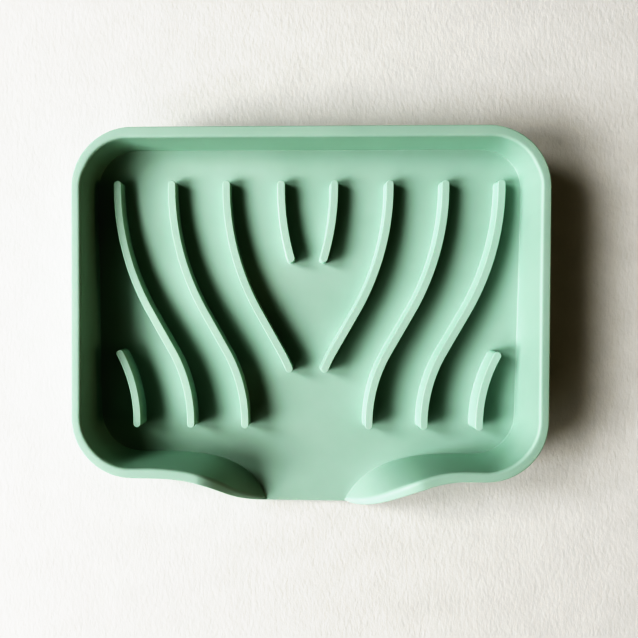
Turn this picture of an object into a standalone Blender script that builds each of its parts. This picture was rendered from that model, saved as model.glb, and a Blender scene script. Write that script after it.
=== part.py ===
"""Silicone soap dish: a rounded tray with a sloping floor, ten raised drainage ribs and a pour spout.

Frame: metres, +Z up, +X across the dish, +Y towards the back wall (the spout points to -Y).
The origin is on the table, at the centre of the footprint of the whole dish.
"""
from math import cos, pi, radians, sin, sqrt, tan

import bmesh
import bpy
from mathutils import Vector

# Driving dimensions
RIM_WIDTH = 0.120
RIM_DEPTH = 0.0889
SPOUT_REACH = 0.0098            # how far the spout's lip stands out from the front of the rim
HEIGHT = 0.020                  # table to the top of the rim
CORNER_RADIUS = 0.0155          # outer corners, in plan

FLOOR_DROP_BACK = 0.0110        # rim down to the floor, at the back of the rim
FLOOR_DROP_FRONT = 0.0162       # rim down to the floor, at the front of the rim
FLOOR_THICKNESS = 0.0022

CREASE_CORNER_RADIUS = 0.011    # where the inner wall meets the floor
CREASE_INSET_SIDE = 0.00345     # from the outer edge of the rim to that line
CREASE_INSET_BACK = 0.0033
CREASE_INSET_FRONT = 0.0038
LIP_WIDTH_SIDE = 0.0025
LIP_WIDTH_BACK = 0.0031
LIP_WIDTH_FRONT = 0.0027
LIP_ROUNDING = 0.0008

WALL_AT_BASE = 0.0026           # wall thickness level with the floor
FOOT_WIDTH = 0.0024
FOOT_DRAFT_END = 0.0015         # the outer wall leans out from this height up
FOOT_EDGE = 0.0012              # height of the foot ring where the spout leaves it

FLARE_START_X = 0.040           # where the front wall begins to turn out into the spout
SPOUT_HALF_WIDTH = 0.011        # half of the opening at the spout's lip
SPOUT_NOSE = 0.0008             # rounded front edge of the spout's floor
TIP_HEIGHT = 0.0012             # wall left standing at the tip of the flare

RIB_PITCH = 0.01442
FIRST_RIB_X = 0.00696           # the innermost rib's centre line, at its back end
RIB_WIDTH = 0.0021
RIB_SHOULDER_WIDTH = 0.0020
RIB_BEVEL_WIDTH = 0.0016
RIB_CROWN_WIDTH = 0.0010        # flat on top of the rib
RIB_SHOULDER = 0.0006           # height of the rounded shoulder
RIB_DROP_BACK = 0.0076          # rim down to the rib tops, at the back of the rim
RIB_DROP_FRONT = 0.0089
RIB_BACK_END = 0.0325           # measured from the middle of the rim, towards the back
RIB_FRONT_END = -0.0330
GAP = 0.0003                    # clearance between a rib and the floor

# The S-curve that every rib follows: an arc, a straight and a second arc back
CURVE_START = 0.0305
CURVE_TURN = radians(29.5)
CURVE_BACK_RADIUS = 0.066
CURVE_STRAIGHT = 0.0105
CURVE_FRONT_RADIUS = 0.038

# Rib number from the middle outwards: (back end, front end)
RIB_ENDS = {
    1: (RIB_BACK_END, 0.0110),
    2: (RIB_BACK_END, -0.0181),
    3: (RIB_BACK_END, RIB_FRONT_END),
    4: (RIB_BACK_END, RIB_FRONT_END),
    5: (-0.0122, RIB_FRONT_END),
}

RIM_CENTRE_Y = SPOUT_REACH / 2  # the rim's middle, in the part's frame
SILICONE_COLOUR = (0.38, 0.63, 0.47, 1.0)

CORNER_STEPS = 8
FLARE_STEPS = 14
RIB_STEPS = 18
END_STEPS = 6


def clear_scene():
    for item in list(bpy.data.objects):
        bpy.data.objects.remove(item, do_unlink=True)


def silicone(name):
    material = bpy.data.materials.new(name + "_silicone")
    material.use_nodes = True
    shader = material.node_tree.nodes["Principled BSDF"]
    shader.inputs["Base Color"].default_value = SILICONE_COLOUR
    shader.inputs["Roughness"].default_value = 0.5
    shader.inputs["Metallic"].default_value = 0.0
    return material


def slope_height(y, drop_back, drop_front):
    """Height of a plane that falls from back to front, at y measured from the rim's middle."""
    share = (RIM_DEPTH / 2 - y) / RIM_DEPTH
    return HEIGHT - drop_back - (drop_front - drop_back) * share


def floor_height(y):
    return slope_height(y, FLOOR_DROP_BACK, FLOOR_DROP_FRONT)


def rib_top_height(y):
    return slope_height(y, RIB_DROP_BACK, RIB_DROP_FRONT)


def bezier(points, t):
    a, b, c, d = (Vector(point) for point in points)
    u = 1 - t
    return a * u ** 3 + b * 3 * u * u * t + c * 3 * u * t * t + d * t ** 3


def smooth(t):
    t = min(max(t, 0.0), 1.0)
    return t * t * (3 - 2 * t)


def half_outline(inset_side, inset_back, inset_front, radius):
    """Right half of a rounded rectangle, from the middle of the back to the start of the flare."""
    half_x = RIM_WIDTH / 2 - inset_side
    back_y = RIM_DEPTH / 2 - inset_back
    front_y = -RIM_DEPTH / 2 + inset_front
    points = [Vector((0, back_y)), Vector(((half_x - radius) / 2, back_y))]
    for step in range(CORNER_STEPS + 1):
        angle = pi / 2 * (1 - step / CORNER_STEPS)
        centre = Vector((half_x - radius, back_y - radius))
        points.append(centre + radius * Vector((cos(angle), sin(angle))))
    points.append(Vector((half_x, 0)))
    for step in range(CORNER_STEPS + 1):
        angle = -pi / 2 * step / CORNER_STEPS
        centre = Vector((half_x - radius, front_y + radius))
        points.append(centre + radius * Vector((cos(angle), sin(angle))))
    return points


def flare(points):
    return [bezier(points, step / FLARE_STEPS) for step in range(FLARE_STEPS + 1)]


def outer_line():
    """The outer edge of the rim, then of the flare, then the spout's front edge."""
    front = -RIM_DEPTH / 2
    lip = front - SPOUT_REACH
    tip = SPOUT_HALF_WIDTH
    sweep = flare([(FLARE_START_X, front), (0.0229, front), (0.0223, front - 0.0086), (tip, lip)])
    edge = [Vector((tip / 2, lip)), Vector((0, lip))]
    return half_outline(0, 0, 0, CORNER_RADIUS) + sweep + edge


def crease_line():
    """Where the inner wall meets the floor; across the spout, where its nose starts."""
    front = -RIM_DEPTH / 2 + CREASE_INSET_FRONT
    lip = -RIM_DEPTH / 2 - SPOUT_REACH + SPOUT_NOSE
    tip = SPOUT_HALF_WIDTH
    insets = (CREASE_INSET_SIDE, CREASE_INSET_BACK, CREASE_INSET_FRONT)
    sweep = flare([(FLARE_START_X, front), (0.0235, front), (0.0154, front - 0.0034), (tip, lip)])
    edge = [Vector((tip / 2, lip)), Vector((0, lip))]
    return half_outline(*insets, CREASE_CORNER_RADIUS) + sweep + edge


def foot_line(inward):
    """The foot ring stands under the wall, `inward` of its outer face, and runs straight below the spout."""
    shift = inward - WALL_AT_BASE
    front = -RIM_DEPTH / 2 + CREASE_INSET_FRONT + shift
    insets = (CREASE_INSET_SIDE + shift, CREASE_INSET_BACK + shift, CREASE_INSET_FRONT + shift)
    outline = half_outline(*insets, CREASE_CORNER_RADIUS - shift)
    start = Vector((FLARE_START_X, front))
    tip = Vector((SPOUT_HALF_WIDTH, front))
    sweep = [start.lerp(tip, step / FLARE_STEPS) for step in range(FLARE_STEPS + 1)]
    edge = [Vector((SPOUT_HALF_WIDTH / 2, front)), Vector((0, front))]
    return outline + sweep + edge


def wall_heights(crease):
    """Height of the wall above the floor at each station: full, falling along the flare, then none."""
    plain = len(crease) - FLARE_STEPS - 3
    heights = []
    for index, point in enumerate(crease):
        full = HEIGHT - floor_height(point.y)
        if index < plain:
            heights.append(full)
        elif index <= plain + FLARE_STEPS:
            fall = smooth((index - plain) / FLARE_STEPS)
            heights.append(full + (TIP_HEIGHT - full) * fall)
        else:
            heights.append(0.0)
    return heights


def lip_width(point):
    """The lip is wider along the back and the front than along the sides."""
    if point.y > 0:
        straight = LIP_WIDTH_BACK
    else:
        straight = LIP_WIDTH_FRONT
    share = smooth((abs(point.y) - RIM_DEPTH / 2 + CORNER_RADIUS) / CORNER_RADIUS)
    return LIP_WIDTH_SIDE + (straight - LIP_WIDTH_SIDE) * share


def wall_section(outer, crease, foot_out, foot_in, height):
    """Points of the wall's section at one station, from the floor over the lip to the underside."""
    floor = floor_height(crease.y)
    across = outer - crease
    run = across.length
    outward = across / run
    lip = min(lip_width(outer), run * 0.85)
    soft = min(height, LIP_ROUNDING)
    belly = crease + outward * min(WALL_AT_BASE, run - SPOUT_NOSE / 2)
    belly_height = min(floor_height(belly.y) - FLOOR_THICKNESS, FOOT_DRAFT_END)
    recess_top = floor_height(foot_in.y) - FLOOR_THICKNESS
    section = [
        (crease, floor),
        (outer - outward * lip, floor + height - soft),
        (outer - outward * lip * 0.75, floor + height - soft * 0.15),
        (outer - outward * lip * 0.35, floor + height),
        (outer, floor + height - LIP_ROUNDING),
        (belly, belly_height),
        (foot_out, FOOT_EDGE),
        (foot_out, 0.0),
        (foot_in, 0.0),
        (foot_in, recess_top),
    ]
    return [(plan.x, plan.y + RIM_CENTRE_Y, z) for plan, z in section]


def new_object(name, mesh, collection):
    item = bpy.data.objects.new(name, mesh)
    item.data.materials.append(silicone(name))
    collection.objects.link(item)
    return item


def finish_mesh(form, name):
    mesh = bpy.data.meshes.new(name)
    form.to_mesh(mesh)
    form.free()
    mesh.shade_smooth()
    mesh.set_sharp_from_angle(angle=radians(35))
    return mesh


def make_tray(collection):
    """Half of the tray is a loft of wall sections between two sloping sheets; Mirror makes the rest."""
    foot_out = foot_line(0)
    foot_in = foot_line(FOOT_WIDTH)
    crease = crease_line()

    form = bmesh.new()
    stations = []
    for station in zip(outer_line(), crease, foot_out, foot_in, wall_heights(crease)):
        stations.append([form.verts.new(point) for point in wall_section(*station)])
    for here, there in zip(stations, stations[1:]):
        for row in range(len(here) - 1):
            form.faces.new((here[row], there[row], there[row + 1], here[row + 1]))
    form.faces.new([station[0] for station in reversed(stations)])
    form.faces.new([station[-1] for station in stations])

    tray = new_object("tray", finish_mesh(form, "tray"), collection)
    mirror = tray.modifiers.new("left_half", "MIRROR")
    mirror.use_axis = (True, False, False)
    mirror.use_clip = True
    mirror.merge_threshold = 0.00001
    return tray


def curve_shift(y):
    """How far a rib has swung towards the middle of the dish at y."""
    arc_end = CURVE_START - CURVE_BACK_RADIUS * sin(CURVE_TURN)
    straight_end = arc_end - CURVE_STRAIGHT
    curve_end = straight_end - CURVE_FRONT_RADIUS * sin(CURVE_TURN)
    arc_shift = CURVE_BACK_RADIUS * (1 - cos(CURVE_TURN))
    straight_shift = arc_shift + CURVE_STRAIGHT * tan(CURVE_TURN)
    full_shift = straight_shift + CURVE_FRONT_RADIUS * (1 - cos(CURVE_TURN))
    if y >= CURVE_START:
        return 0.0
    if y >= arc_end:
        return CURVE_BACK_RADIUS - sqrt(CURVE_BACK_RADIUS ** 2 - (CURVE_START - y) ** 2)
    if y >= straight_end:
        return arc_shift + (arc_end - y) * tan(CURVE_TURN)
    if y >= curve_end:
        return full_shift - CURVE_FRONT_RADIUS + sqrt(CURVE_FRONT_RADIUS ** 2 - (y - curve_end) ** 2)
    return full_shift


def rib_centre_line(number, side):
    """Points along the middle of a rib, from its back end to its front end."""
    back_end, front_end = RIB_ENDS[number]
    start = back_end - RIB_WIDTH / 2
    stop = front_end + RIB_WIDTH / 2
    top_x = FIRST_RIB_X + RIB_PITCH * (number - 1)
    line = []
    for step in range(RIB_STEPS + 1):
        y = start + (stop - start) * step / RIB_STEPS
        line.append(Vector((side * (top_x - curve_shift(y)), y)))
    return line


def rib_outline(line, width):
    """A closed outline round a centre line, at half the width on each side, with round ends."""
    headings = []
    for index in range(len(line)):
        before = line[max(index - 1, 0)]
        after = line[min(index + 1, len(line) - 1)]
        headings.append((after - before).normalized())
    half = width / 2
    left = []
    right = []
    for point, heading in zip(line, headings):
        normal = Vector((-heading.y, heading.x))
        left.append(point + normal * half)
        right.append(point - normal * half)
    front_end = round_end(line[-1], headings[-1], half)
    back_end = round_end(line[0], -headings[0], half)
    clockwise = left + front_end + right[::-1] + back_end
    return clockwise[::-1]


def round_end(centre, heading, half):
    """The points between the two corners of a rib's end, on a half circle."""
    normal = Vector((-heading.y, heading.x))
    points = []
    for step in range(1, END_STEPS):
        angle = pi * step / END_STEPS
        points.append(centre + half * (cos(angle) * normal + sin(angle) * heading))
    return points


def make_rib(name, number, side, collection):
    """A rib stands just clear of the sloping floor and has a rounded crown on its own plane."""
    line = rib_centre_line(number, side)
    layers = [
        (RIB_WIDTH, floor_height, GAP),
        (RIB_SHOULDER_WIDTH, rib_top_height, -RIB_SHOULDER),
        (RIB_BEVEL_WIDTH, rib_top_height, -RIB_SHOULDER / 4),
        (RIB_CROWN_WIDTH, rib_top_height, 0),
    ]
    form = bmesh.new()
    rings = []
    for width, plane, offset in layers:
        ring = []
        for point in rib_outline(line, width):
            height = plane(point.y) + offset
            ring.append(form.verts.new((point.x, point.y + RIM_CENTRE_Y, height)))
        rings.append(ring)
    count = len(rings[0])
    for lower, upper in zip(rings, rings[1:]):
        for index in range(count):
            following = (index + 1) % count
            form.faces.new((lower[index], lower[following], upper[following], upper[index]))
    form.faces.new(rings[0][::-1])
    form.faces.new(rings[-1])
    return new_object(name, finish_mesh(form, name), collection)


def main():
    clear_scene()
    collection = bpy.data.collections.new("soap_dish")
    bpy.context.scene.collection.children.link(collection)
    make_tray(collection)
    for side_name, side in (("left", -1), ("right", 1)):
        for number in RIB_ENDS:
            make_rib(f"rib_{side_name}_{number}", number, side, collection)


main()
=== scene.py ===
"""A mint silicone soap dish on pale paper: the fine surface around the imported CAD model.

Metres, +Z up, +X across the dish, +Y towards its back wall; the pour spout points to -Y.
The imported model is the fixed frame. Every piece here stands for one of its nodes.
"""
from math import cos, pi, radians, sin, sqrt, tan

import bmesh
import bpy
from mathutils import Matrix, Vector


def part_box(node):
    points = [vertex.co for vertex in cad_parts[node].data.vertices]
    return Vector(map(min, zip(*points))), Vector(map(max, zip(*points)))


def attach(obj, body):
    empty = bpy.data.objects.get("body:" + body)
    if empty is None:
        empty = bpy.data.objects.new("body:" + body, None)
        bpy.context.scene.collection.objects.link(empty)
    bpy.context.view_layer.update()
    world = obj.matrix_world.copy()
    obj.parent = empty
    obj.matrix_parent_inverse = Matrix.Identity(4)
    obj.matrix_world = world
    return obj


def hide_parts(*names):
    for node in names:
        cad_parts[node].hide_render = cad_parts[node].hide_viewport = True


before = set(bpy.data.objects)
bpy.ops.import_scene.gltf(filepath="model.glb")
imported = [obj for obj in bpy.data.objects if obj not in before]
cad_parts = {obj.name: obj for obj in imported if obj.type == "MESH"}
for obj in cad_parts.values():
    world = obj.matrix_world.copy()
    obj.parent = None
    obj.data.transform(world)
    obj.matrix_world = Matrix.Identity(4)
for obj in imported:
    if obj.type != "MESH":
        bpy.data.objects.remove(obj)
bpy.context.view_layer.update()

MM = 0.001

# ---------------------------------------------------------------- sizes: the tray's box comes from the frame
TRAY_LOW, TRAY_HIGH = (Vector(corner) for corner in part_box("tray"))
HALF_WIDTH = TRAY_HIGH.x
HEIGHT = TRAY_HIGH.z
RIM_DEPTH = 88.9 * MM
BACK_Y = TRAY_HIGH.y
FRONT_Y = BACK_Y - RIM_DEPTH
MIDDLE_Y = BACK_Y - RIM_DEPTH / 2
SPOUT_Y = TRAY_LOW.y

# Tray
CORNER_RADIUS = 15.5 * MM
CREASE_RADIUS = 11.0 * MM
INSET_SIDE, INSET_BACK, INSET_FRONT = 3.45 * MM, 3.3 * MM, 3.8 * MM
LIP_SIDE, LIP_BACK, LIP_FRONT = 2.55 * MM, 3.1 * MM, 2.7 * MM
LIP_FALL = 0.05                 # the lip slopes down towards its outer edge
LIP_SHARE = 0.88                # the most of the way from outer edge to crease that the lip may take
FLOOR_DROP_BACK, FLOOR_DROP_FRONT = 11.0 * MM, 16.2 * MM
FLOOR_THICKNESS = 2.2 * MM
WALL_AT_BASE = 2.6 * MM
FOOT_WIDTH = 2.4 * MM
FOOT_DRAFT_END = 1.5 * MM
FOOT_EDGE = 1.2 * MM

# Spout
FLARE_START_X = 40.0 * MM
SPOUT_HALF_WIDTH = 11.0 * MM
SPOUT_NOSE = 0.8 * MM
FALL_START = 0.28               # share of the flare at which the wall starts to come down
FALL_POWER = 1.4                # how gently it starts
EDGE_MELT = 2.0 * MM            # how much wider the lip's inner edge is rounded by the end of the flare
LIP_NARROWING = 0.6             # share of the lip's width that is gone by then
# The flare's two middle Bezier points on each side, in millimetres:
# distance from the middle of the dish, distance in front of the straight run
FLARES = {
    "right": {"outer": ((26.3, 0.0), (19.4, 10.35)), "crease": ((23.7, 0.0), (15.8, 4.2))},
    "left": {"outer": ((19.4, 0.0), (25.2, 6.75)), "crease": ((23.2, 0.0), (15.0, 2.6))},
}

# Ribs
RIB_PITCH = 14.42 * MM
FIRST_RIB_X = 6.96 * MM
RIB_WIDTH = 2.1 * MM
RIB_TAPER = 0.05 * MM
RIB_CROWN = 0.15 * MM           # radius of the rounded top edges
RIB_FILLET = 0.15 * MM          # where a rib grows out of the floor
FILLET_SINK = 0.004 * MM        # the fillet's edge lies just under the floor's surface
RIB_DROP_BACK, RIB_DROP_FRONT = 7.6 * MM, 8.9 * MM
RIB_BACK_END = 32.5 * MM
RIB_FRONT_END = -33.0 * MM
CURVE_START = 30.5 * MM
CURVE_TURN = radians(29.5)
CURVE_BACK_RADIUS = 66.0 * MM
CURVE_STRAIGHT = 10.5 * MM
CURVE_FRONT_RADIUS = 38.0 * MM
RIB_ENDS = {
    1: (RIB_BACK_END, 11.0 * MM),
    2: (RIB_BACK_END, -18.1 * MM),
    3: (RIB_BACK_END, RIB_FRONT_END),
    4: (RIB_BACK_END, RIB_FRONT_END),
    5: (-12.2 * MM, RIB_FRONT_END),
}

# Mesh density
STRAIGHT_STEPS = 8
CORNER_STEPS = 22
FLARE_STEPS = 44
EDGE_STEPS = 8
TIP_CROWDING = 1.25             # stations crowd towards the flare's tip, where the wall runs out
EDGE_CROWDING = 1.5
ROUND_STEPS = 7
FLOOR_RINGS = (0.15, 0.35, 0.6, 0.85)
RIB_STEPS = 60
RIB_END_STEPS = 14
RIB_ROUND_STEPS = 6


# ---------------------------------------------------------------- shape
def slope_height(y, drop_back, drop_front):
    share = (BACK_Y - y) / RIM_DEPTH
    return HEIGHT - drop_back - (drop_front - drop_back) * share


def floor_height(y):
    return slope_height(y, FLOOR_DROP_BACK, FLOOR_DROP_FRONT)


def rib_top_height(y):
    return slope_height(y, RIB_DROP_BACK, RIB_DROP_FRONT)


def smooth(t):
    t = min(max(t, 0.0), 1.0)
    return t * t * (3 - 2 * t)


def bezier(points, t):
    a, b, c, d = (Vector(point) for point in points)
    u = 1 - t
    return a * u ** 3 + b * 3 * u * u * t + c * 3 * u * t * t + d * t ** 3


def half_outline(inset_side, inset_back, inset_front, radius):
    """Right half of a rounded rectangle, from the middle of the back to the start of the flare."""
    half_x = HALF_WIDTH - inset_side
    back_y = BACK_Y - inset_back
    front_y = FRONT_Y + inset_front
    points = []
    for step in range(STRAIGHT_STEPS):
        points.append(Vector(((half_x - radius) * step / STRAIGHT_STEPS, back_y)))
    back_centre = Vector((half_x - radius, back_y - radius))
    front_centre = Vector((half_x - radius, front_y + radius))
    for step in range(CORNER_STEPS + 1):
        angle = pi / 2 * (1 - step / CORNER_STEPS)
        points.append(back_centre + radius * Vector((cos(angle), sin(angle))))
    for step in range(1, STRAIGHT_STEPS):
        share = step / STRAIGHT_STEPS
        points.append(Vector((half_x, back_centre.y + (front_centre.y - back_centre.y) * share)))
    for step in range(CORNER_STEPS + 1):
        angle = -pi / 2 * step / CORNER_STEPS
        points.append(front_centre + radius * Vector((cos(angle), sin(angle))))
    return points


def flare_share(step):
    """How far along the flare a station lies."""
    return 1 - (1 - step / FLARE_STEPS) ** TIP_CROWDING


def with_spout(outline, middle, edge_y):
    """Adds the flare, along a Bezier curve, and the spout's front edge to half an outline."""
    start = outline[-1].y
    controls = [(FLARE_START_X, start)]
    controls += [(x * MM, start - ahead * MM) for x, ahead in middle]
    controls.append((SPOUT_HALF_WIDTH, edge_y))
    sweep = [bezier(controls, flare_share(step)) for step in range(1, FLARE_STEPS + 1)]
    edge = []
    for step in range(1, EDGE_STEPS + 1):
        share = (step / EDGE_STEPS) ** EDGE_CROWDING
        edge.append(Vector((SPOUT_HALF_WIDTH * (1 - share), edge_y)))
    return outline + [Vector(controls[0])] + sweep + edge


def outer_line(side):
    return with_spout(half_outline(0, 0, 0, CORNER_RADIUS), FLARES[side]["outer"], SPOUT_Y)


def crease_line(side):
    outline = half_outline(INSET_SIDE, INSET_BACK, INSET_FRONT, CREASE_RADIUS)
    return with_spout(outline, FLARES[side]["crease"], SPOUT_Y + SPOUT_NOSE)


def foot_line(inward):
    """The foot ring, this far inside its outer edge; it runs straight past the spout."""
    shift = inward - WALL_AT_BASE
    insets = (INSET_SIDE + shift, INSET_BACK + shift, INSET_FRONT + shift)
    outline = half_outline(*insets, CREASE_RADIUS - shift)
    return with_spout(outline, ((30.0, 0.0), (20.0, 0.0)), outline[-1].y)


def wall_heights(crease):
    """Height of the wall above the floor: full, then falling along the flare, none at the spout's edge."""
    plain = len(crease) - FLARE_STEPS - EDGE_STEPS - 1
    heights = []
    for index, point in enumerate(crease):
        full = HEIGHT - floor_height(point.y)
        if index < plain:
            heights.append(full)
        elif index <= plain + FLARE_STEPS:
            share = max((flare_share(index - plain) - FALL_START) / (1 - FALL_START), 0.0)
            heights.append(full * (1 - share ** FALL_POWER))
        else:
            heights.append(0.0)
    return heights


def lip_width(point):
    straight = LIP_BACK if point.y > MIDDLE_Y else LIP_FRONT
    reach = abs(point.y - MIDDLE_Y) - RIM_DEPTH / 2 + CORNER_RADIUS
    return LIP_SIDE + (straight - LIP_SIDE) * smooth(reach / CORNER_RADIUS)


def rounded_path(corners, cuts):
    """A path through `corners`, each rounded over its cut length; the first and last stay sharp."""
    path = [corners[0]]
    for index in range(1, len(corners) - 1):
        corner = corners[index]
        back = corners[index - 1] - corner
        ahead = corners[index + 1] - corner
        cut = min(cuts[index - 1], back.length * CUT_LIMIT, ahead.length * CUT_LIMIT)
        start = corner + back.normalized() * cut
        end = corner + ahead.normalized() * cut
        for step in range(ROUND_STEPS + 1):
            t = step / ROUND_STEPS
            path.append(start * (1 - t) ** 2 + corner * 2 * t * (1 - t) + end * t * t)
    path.append(corners[-1])
    return path


def raised(plan, z):
    return Vector((plan.x, plan.y, z))


# How far each corner of the wall's section is rounded: crease, lip inside and outside, base of the
# outer face, foot ring (three corners), and where the ring meets the underside
CUTS = (0.3 * MM, 0.9 * MM, 0.4 * MM, 0.8 * MM, 0.6 * MM, 0.4 * MM, 0.4 * MM, 1.2 * MM)
CUT_LIMIT = 0.45                # share of the shorter neighbouring edge
APRON = 0.05                    # share of the way to the middle that the first strip of floor takes
MIDDLE_LINE = 0.3               # the floor closes towards a middle line, this share of the dish's width


def towards_middle(point, share):
    return point.lerp(Vector((point.x * MIDDLE_LINE, MIDDLE_Y)), share)


def wall_section(outer, crease, foot_out, foot_in, height):
    """The wall's section at one station: floor, crease, lip, outer face, foot ring and underside."""
    across = outer - crease
    run = across.length
    outward = across / run
    fallen = 1 - height / (HEIGHT - floor_height(crease.y))
    lip = min(lip_width(outer) * (1 - LIP_NARROWING * fallen), run * LIP_SHARE)
    top = floor_height(crease.y) + height
    belly = crease + outward * min(WALL_AT_BASE, run - SPOUT_NOSE / 2)
    belly_height = min(floor_height(belly.y) - FLOOR_THICKNESS, FOOT_DRAFT_END)
    inner = towards_middle(crease, APRON)
    inward = towards_middle(foot_in, APRON)
    lip_out_height = max(top - lip * LIP_FALL, floor_height(outer.y))
    corners = [
        raised(inner, floor_height(inner.y)),
        raised(crease, floor_height(crease.y)),
        raised(outer - outward * lip, top),
        raised(outer, lip_out_height),
        raised(belly, belly_height),
        raised(foot_out, FOOT_EDGE),
        raised(foot_out, 0),
        raised(foot_in, 0),
        raised(foot_in, floor_height(foot_in.y) - FLOOR_THICKNESS),
        raised(inward, floor_height(inward.y) - FLOOR_THICKNESS),
    ]
    cuts = (CUTS[0], CUTS[1] + EDGE_MELT * fallen, *CUTS[2:])
    return rounded_path(corners, cuts)


def half_sections(side):
    crease = crease_line(side)
    lines = zip(outer_line(side), crease, foot_line(0), foot_line(FOOT_WIDTH), wall_heights(crease))
    return [wall_section(*line) for line in lines]


def full_ring():
    """All the stations round the dish; each half's first and last lie on the middle plane."""
    left = []
    for section in reversed(half_sections("left")[1:-1]):
        left.append([Vector((-point.x, point.y, point.z)) for point in section])
    return half_sections("right") + left


def skin(form, rings):
    """Quads between neighbouring closed rings of vertices."""
    for lower, upper in zip(rings, rings[1:]):
        for index in range(len(lower)):
            following = (index + 1) % len(lower)
            form.faces.new((lower[index], lower[following], upper[following], upper[index]))


def closing_rings(form, ring, height):
    """Rings that shrink a sheet towards the middle of the dish, on the plane given by height(y)."""
    rings = [ring]
    for share in FLOOR_RINGS:
        points = [towards_middle(vertex.co.xy, share) for vertex in ring]
        rings.append([form.verts.new(raised(point, height(point.y))) for point in points])
    return rings


def finish_piece(form, name, material, sharp=180):
    """Makes the object, smooth shaded; edges that turn by more than `sharp` degrees stay sharp."""
    bmesh.ops.recalc_face_normals(form, faces=form.faces)
    mesh = bpy.data.meshes.new(name)
    form.to_mesh(mesh)
    form.free()
    mesh.shade_smooth()
    if sharp < 180:
        mesh.set_sharp_from_angle(angle=radians(sharp))
    piece = bpy.data.objects.new(name, mesh)
    piece.data.materials.append(material)
    bpy.context.scene.collection.objects.link(piece)
    return piece


def make_tray(material):
    stations = full_ring()
    form = bmesh.new()
    rings = []
    for row in range(len(stations[0])):
        rings.append([form.verts.new(station[row]) for station in stations])
    skin(form, rings)
    floor = closing_rings(form, rings[0], floor_height)
    under = closing_rings(form, rings[-1], lambda y: floor_height(y) - FLOOR_THICKNESS)
    for sheet in (floor, under):
        skin(form, sheet)
        form.faces.new(sheet[-1])
    return finish_piece(form, "dish_tray", material)


def curve_shift(y):
    """How far a rib has swung towards the middle at y, measured from the middle of the rim."""
    arc_end = CURVE_START - CURVE_BACK_RADIUS * sin(CURVE_TURN)
    straight_end = arc_end - CURVE_STRAIGHT
    curve_end = straight_end - CURVE_FRONT_RADIUS * sin(CURVE_TURN)
    arc_shift = CURVE_BACK_RADIUS * (1 - cos(CURVE_TURN))
    straight_shift = arc_shift + CURVE_STRAIGHT * tan(CURVE_TURN)
    full_shift = straight_shift + CURVE_FRONT_RADIUS * (1 - cos(CURVE_TURN))
    if y >= CURVE_START:
        return 0.0
    if y >= arc_end:
        return CURVE_BACK_RADIUS - sqrt(CURVE_BACK_RADIUS ** 2 - (CURVE_START - y) ** 2)
    if y >= straight_end:
        return arc_shift + (arc_end - y) * tan(CURVE_TURN)
    if y >= curve_end:
        return full_shift - CURVE_FRONT_RADIUS + sqrt(CURVE_FRONT_RADIUS ** 2 - (y - curve_end) ** 2)
    return full_shift


def rib_centre_line(number, side):
    back_end, front_end = RIB_ENDS[number]
    start = back_end - RIB_WIDTH / 2
    stop = front_end + RIB_WIDTH / 2
    back_x = FIRST_RIB_X + RIB_PITCH * (number - 1)
    line = []
    for step in range(RIB_STEPS + 1):
        y = start + (stop - start) * step / RIB_STEPS
        line.append(Vector((side * (back_x - curve_shift(y)), y + MIDDLE_Y)))
    return line


def rib_outline(line, half):
    """A closed outline at distance `half` from a centre line, with round ends."""
    headings = []
    for index in range(len(line)):
        before = line[max(index - 1, 0)]
        after = line[min(index + 1, len(line) - 1)]
        headings.append((after - before).normalized())
    normals = [Vector((-heading.y, heading.x)) for heading in headings]
    one_side = [point + normal * half for point, normal in zip(line, normals)]
    other_side = [point - normal * half for point, normal in zip(line, normals)]
    front = round_end(line[-1], headings[-1], half)
    back = round_end(line[0], -headings[0], half)
    return one_side + front + other_side[::-1] + back


def round_end(centre, heading, half):
    normal = Vector((-heading.y, heading.x))
    points = []
    for step in range(1, RIB_END_STEPS):
        angle = pi * step / RIB_END_STEPS
        points.append(centre + half * (cos(angle) * normal + sin(angle) * heading))
    return points


def rib_layers():
    """(half width, height function) of each ring, from under the floor's surface to the crown."""
    half = RIB_WIDTH / 2
    top_half = half - RIB_TAPER
    layers = [(half + RIB_FILLET, lambda y: floor_height(y) - FLOOR_THICKNESS / 2)]
    for step in range(RIB_ROUND_STEPS + 1):
        angle = pi / 2 * step / RIB_ROUND_STEPS
        width = half + RIB_FILLET * (1 - sin(angle))
        lift = RIB_FILLET * (1 - cos(angle)) - FILLET_SINK
        layers.append((width, lambda y, lift=lift: floor_height(y) + lift))
    for step in range(RIB_ROUND_STEPS + 1):
        angle = pi / 2 * step / RIB_ROUND_STEPS
        width = top_half - RIB_CROWN * (1 - cos(angle))
        fall = RIB_CROWN * (1 - sin(angle))
        layers.append((width, lambda y, fall=fall: rib_top_height(y) - fall))
    layers.append((top_half - RIB_CROWN * 1.5, rib_top_height))
    return layers


def make_rib(name, number, side, material):
    line = rib_centre_line(number, side)
    form = bmesh.new()
    rings = []
    for half, height in rib_layers():
        rings.append([form.verts.new(raised(point, height(point.y))) for point in rib_outline(line, half)])
    skin(form, rings)
    form.faces.new(rings[0])
    form.faces.new(rings[-1])
    return finish_piece(form, name, material, sharp=50)


# ---------------------------------------------------------------- materials
def node_material(name):
    material = bpy.data.materials.new(name)
    material.use_nodes = True
    nodes = material.node_tree.nodes
    return material, nodes, material.node_tree.links, nodes["Principled BSDF"]


def noise(nodes, links, coordinates, scale, detail=2.0, roughness=0.5):
    texture = nodes.new("ShaderNodeTexNoise")
    texture.inputs["Scale"].default_value = scale
    texture.inputs["Detail"].default_value = detail
    texture.inputs["Roughness"].default_value = roughness
    links.new(coordinates, texture.inputs["Vector"])
    return texture.outputs["Fac"]


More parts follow.
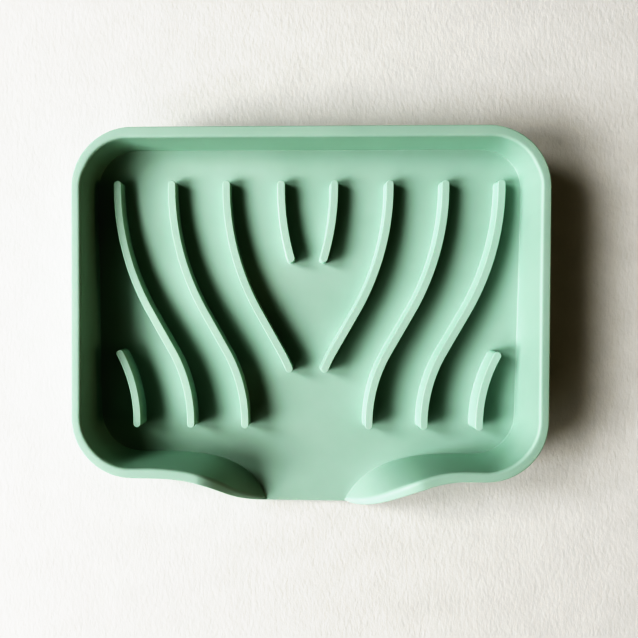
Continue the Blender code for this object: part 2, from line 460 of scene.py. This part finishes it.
def remap(nodes, links, value, low, high, start=0.3, stop=0.7):
    span = nodes.new("ShaderNodeMapRange")
    span.inputs["From Min"].default_value = start
    span.inputs["From Max"].default_value = stop
    span.inputs["To Min"].default_value = low
    span.inputs["To Max"].default_value = high
    links.new(value, span.inputs["Value"])
    return span.outputs["Result"]


def blend_colours(nodes, links, factor, first, second):
    mix = nodes.new("ShaderNodeMix")
    mix.data_type = "RGBA"
    links.new(factor, mix.inputs["Factor"])
    for socket, colour in ((mix.inputs["A"], first), (mix.inputs["B"], second)):
        if isinstance(colour, tuple):
            socket.default_value = colour
        else:
            links.new(colour, socket)
    return mix.outputs["Result"]


def bump(nodes, links, value, distance, strength=1.0, below=None):
    relief = nodes.new("ShaderNodeBump")
    relief.inputs["Distance"].default_value = distance
    relief.inputs["Strength"].default_value = strength
    links.new(value, relief.inputs["Height"])
    if below is not None:
        links.new(below, relief.inputs["Normal"])
    return relief.outputs["Normal"]


MINT_DARK, MINT_LIGHT = (0.345, 0.468, 0.406), (0.371, 0.492, 0.432)
RIB_PAINTED_LIGHT = 1.13            # painted highlight: each rib's whole colour is made paler to stand in for the extra light its tops catch


def paler(colour, paleness):
    return (*(channel * paleness for channel in colour), 1)


def silicone(name, paleness):
    """Moulded silicone: satin, slightly translucent, with a fine mould texture and faint clouding."""
    material, nodes, links, shader = node_material(name)
    place = nodes.new("ShaderNodeTexCoord").outputs["Object"]
    cloud = noise(nodes, links, place, 60, detail=3)
    grain = noise(nodes, links, place, 4500, detail=2)
    waves = noise(nodes, links, place, 90, detail=2)
    # paleness lifts the colour; above 1 it is painted highlight, not the silicone's own tone
    colour = blend_colours(
        nodes, links, remap(nodes, links, cloud, 0, 1),
        paler(MINT_DARK, paleness), paler(MINT_LIGHT, paleness),
    )
    links.new(colour, shader.inputs["Base Color"])
    rough = remap(nodes, links, cloud, 0.48, 0.56)
    links.new(rough, shader.inputs["Roughness"])
    relief = bump(nodes, links, waves, 0.06 * MM)
    relief = bump(nodes, links, grain, 0.01 * MM, below=relief)
    links.new(relief, shader.inputs["Normal"])
    shader.inputs["IOR"].default_value = 1.41
    shader.inputs["Subsurface Weight"].default_value = 0.15
    shader.inputs["Subsurface Radius"].default_value = (0.5, 1.0, 0.7)
    shader.inputs["Subsurface Scale"].default_value = 1.2 * MM
    shader.inputs["Sheen Weight"].default_value = 0.4
    shader.inputs["Sheen Roughness"].default_value = 0.45
    shader.inputs["Sheen Tint"].default_value = (0.6, 1.0, 0.8, 1)
    return material


PAPER_DARK, PAPER_LIGHT = (0.61, 0.61, 0.60, 1), (0.643, 0.643, 0.634, 1)
FIBRE_STRETCH = 0.45            # the grain's scale along Y, next to that along X


def paper():
    """Pale backdrop paper; the fibres of its grain lie along Y."""
    material, nodes, links, shader = node_material("pale_paper")
    place = nodes.new("ShaderNodeTexCoord").outputs["Object"]
    stretch = nodes.new("ShaderNodeMapping")
    stretch.inputs["Scale"].default_value = (1.0, FIBRE_STRETCH, 1.0)
    links.new(place, stretch.inputs["Vector"])
    fibres = noise(nodes, links, stretch.outputs["Vector"], 950, detail=4, roughness=0.6)
    blotches = noise(nodes, links, place, 120, detail=2)
    colour = blend_colours(nodes, links, remap(nodes, links, blotches, 0, 1), PAPER_DARK, PAPER_LIGHT)
    links.new(colour, shader.inputs["Base Color"])
    links.new(bump(nodes, links, fibres, 0.17 * MM), shader.inputs["Normal"])
    shader.inputs["Roughness"].default_value = 0.85
    return material


# ---------------------------------------------------------------- stage, light, camera
STAGE_HALF_WIDTH = 1.5


def make_stage():
    form = bmesh.new()
    bmesh.ops.create_grid(form, x_segments=8, y_segments=8, size=STAGE_HALF_WIDTH)
    mesh = bpy.data.meshes.new("stage")
    form.to_mesh(mesh)
    form.free()
    stage = bpy.data.objects.new("stage", mesh)
    stage.data.materials.append(paper())
    bpy.context.scene.collection.objects.link(stage)


def aim(item, target):
    direction = Vector(target) - item.location
    item.rotation_euler = direction.to_track_quat("-Z", "Y").to_euler()


LIGHT_DISTANCE = 1.0
DAYLIGHT = (1.0, 1.0, 1.0)
WARM = (1.0, 0.76, 0.50)
ROOM_COLOUR = (1.0, 0.89, 0.60, 1)
ROOM_BRIGHTNESS = 0.127
# Each window: compass angle from the dish (0 is +X, 180 is -X), height above the paper in degrees,
# width and height of the glass in metres, power in watts
WINDOWS = {
    "back_pane": (162, 40, 0.30, 0.45, 6.3),
    "front_pane": (196, 38, 0.42, 0.60, 11.2),
    "side_window": (228, 40, 0.40, 0.40, 1.9),
}


def from_stage(azimuth, elevation):
    """A point at the lights' distance, seen from the dish at this compass angle and height."""
    level = cos(radians(elevation))
    turn = radians(azimuth)
    return Vector((cos(turn) * level, sin(turn) * level, sin(radians(elevation)))) * LIGHT_DISTANCE


def area_light(name, place, width, height, power, colour, spread=180):
    lamp = bpy.data.lights.new(name, "AREA")
    lamp.shape = "ELLIPSE"
    lamp.size = width
    lamp.size_y = height
    lamp.energy = power
    lamp.color = colour
    lamp.spread = radians(spread)
    item = bpy.data.objects.new(name, lamp)
    item.location = place
    bpy.context.scene.collection.objects.link(item)
    aim(item, (0, 0, 0))


def make_lights():
    """A window with two panes on the left, a weaker one at the front left, and a dim warm room."""
    for name, (azimuth, elevation, width, height, power) in WINDOWS.items():
        area_light(name, from_stage(azimuth, elevation), width, height, power, DAYLIGHT)
    # A low, narrow beam: it warms the shadow beside the dish and leaves the far paper alone
    area_light("warm_wall", from_stage(-5, 14), 0.3, 0.2, 0.034, WARM, spread=25)
    world = bpy.data.worlds.new("room")
    world.use_nodes = True
    background = world.node_tree.nodes["Background"]
    background.inputs["Color"].default_value = ROOM_COLOUR
    background.inputs["Strength"].default_value = ROOM_BRIGHTNESS
    bpy.context.scene.world = world


def make_camera():
    """The overhead view: almost straight down, a little to the left of the middle and off centre."""
    lens = bpy.data.cameras.new("camera")
    lens.sensor_width = 36
    lens.lens = 36.05
    lens.shift_x = 0.0687
    lens.shift_y = 0.0075
    lens.clip_start = 0.01
    camera = bpy.data.objects.new("camera", lens)
    flip = Matrix.Diagonal((1, -1, -1))
    tilt = (
        Matrix.Rotation(radians(0.25), 3, "Z")
        @ Matrix.Rotation(radians(1.81), 3, "Y")
        @ Matrix.Rotation(radians(0.85), 3, "X")
    )
    camera.rotation_euler = (flip @ tilt.transposed() @ flip).to_euler()
    camera.location = (-3.12 * MM, 2.25 * MM, 179.94 * MM)
    bpy.context.scene.collection.objects.link(camera)
    bpy.context.scene.camera = camera


TONE_WHITE = 1.25               # scene brightness at the right end of the tone curve
# The curve's points: share of TONE_WHITE, brightness shown
TONES = ((0.05, 0.004), (0.1, 0.022), (0.16, 0.065), (0.28, 0.22), (0.4, 0.44), (0.56, 0.72), (0.7, 0.9))


def set_tones():
    """The contrast of a bright snapshot: deep shadows and soft highlights."""
    view = bpy.context.scene.view_settings
    view.view_transform = "Standard"
    view.use_curve_mapping = True
    view.curve_mapping.white_level = (TONE_WHITE, TONE_WHITE, TONE_WHITE)
    points = view.curve_mapping.curves[3].points
    for place in TONES:
        points.new(*place)
    for point in points:
        point.handle_type = "AUTO_CLAMPED"
    view.curve_mapping.update()


def main():
    make_camera()
    set_tones()
    make_lights()
    make_stage()
    tray = make_tray(silicone("mint_silicone", 1.0))
    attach(tray, "root")
    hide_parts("tray")
    # The ribs get a paler copy of the silicone: painted highlight for their tops, which catch more light
    # than the floor
    rib_mint_painted_lit = silicone("mint_silicone_ribs_painted_lit", RIB_PAINTED_LIGHT)
    for side_name, side in (("left", -1), ("right", 1)):
        for number in RIB_ENDS:
            rib = make_rib(f"drain_rib_{side_name}_{number}", number, side, rib_mint_painted_lit)
            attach(rib, "root")
            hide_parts(f"rib_{side_name}_{number}")


main()
